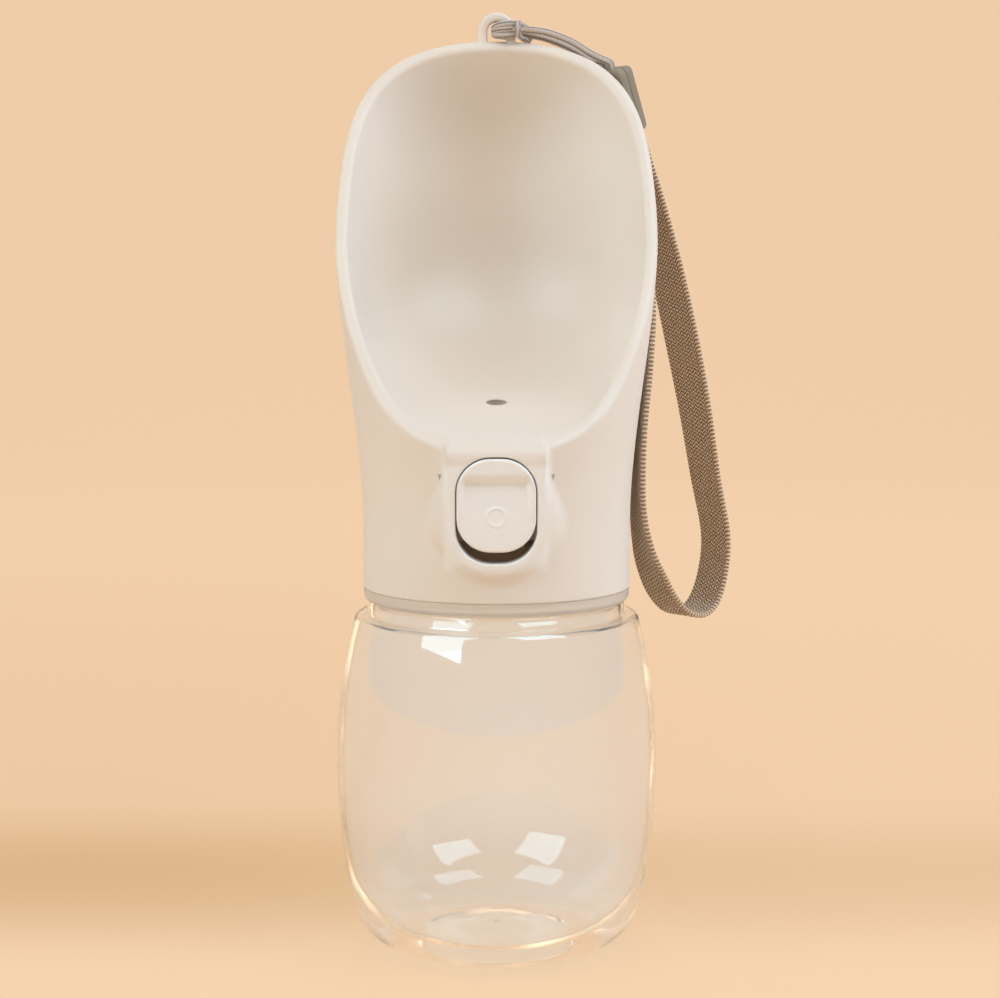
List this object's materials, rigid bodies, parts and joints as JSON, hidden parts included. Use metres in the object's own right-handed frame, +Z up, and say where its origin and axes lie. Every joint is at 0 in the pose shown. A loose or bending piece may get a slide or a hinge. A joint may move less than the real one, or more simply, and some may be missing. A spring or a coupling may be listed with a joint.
{
  "type": "dog travel water bottle",
  "caption": "Dog travel water bottle: clear bottle with a screw-on trough head, lockable push-button valve and a wrist strap on a cord.",
  "frame": {"origin": "middle of the foot, on the surface that the bottle stands on", "axes": "+Z up along the bottle's axis; the button and the open side of the trough face -Y; the strap hangs on the +X side"},
  "size_m": [0.0935, 0.0742, 0.2157],
  "materials": {
    "clear_plastic": "clear moulded plastic, faintly warm",
    "collar_plastic": "milky translucent plastic",
    "head_plastic": "satin white moulded plastic",
    "inner_plastic": "plain moulded plastic",
    "carriage_plastic": "low-friction grey plastic",
    "stem_plastic": "turned plastic rod",
    "soft_silicone": "soft white silicone",
    "stopper_silicone": "soft coloured silicone",
    "seal_rubber": "black rubber",
    "steel": "stainless steel",
    "strap_cord": "round braided cord",
    "strap_webbing": "flat woven webbing",
    "clasp_plastic": "grey-green moulded plastic"
  },
  "bodies": {
    "bottle": {"bottle": "clear_plastic"},
    "gasket": {"mouth_gasket": "soft_silicone"},
    "head": {"thread_collar": "collar_plastic", "vent_valve": "soft_silicone", "head_shell": "head_plastic", "outlet_grommet": "soft_silicone", "valve_housing": "inner_plastic", "housing_screws": "steel", "inlet_seal": "seal_rubber", "stem_seal": "seal_rubber", "seal_retainer": "inner_plastic", "return_spring": "steel", "spring_cap": "inner_plastic", "strap_cord": "strap_cord", "clasp_front": "clasp_plastic", "clasp_back": "clasp_plastic", "strap_webbing": "strap_webbing"},
    "carriage": {"lock_carriage": "carriage_plastic", "button_spring": "steel"},
    "button": {"button_cap": "head_plastic"},
    "stem": {"valve_stem": "stem_plastic", "valve_stopper": "stopper_silicone"}
  },
  "joints": [
    {"name": "head_lift", "type": "slide", "parent": "bottle", "child": "gasket", "axis": [0, 0, 1], "range_m": [0, 0.008]},
    {"name": "head_turn", "type": "hinge", "parent": "gasket", "child": "head", "pos_m": [0, 0, 0.0831], "axis": [0, 0, 1], "range_deg": [0, 720]},
    {"name": "lock_slide", "type": "slide", "parent": "head", "child": "carriage", "axis": [0, 0, -1], "range_m": [0, 0.0022]},
    {"name": "button_press", "type": "slide", "parent": "carriage", "child": "button", "axis": [0, 1, 0], "range_m": [0, 0.003], "stiffness_N_per_m": 400, "springref_m": -0.004, "deforming": ["button_spring"]},
    {"name": "stem_slide", "type": "slide", "parent": "head", "child": "stem", "axis": [0, 1, 0], "range_m": [0, 0.003], "deforming": ["return_spring"]}
  ],
  "couplings": [
    {"joint": "head_turn", "follows": "head_lift", "rad_per_m": 1570.8},
    {"joint": "stem_slide", "follows": "button_press", "ratio": 1}
  ]
}
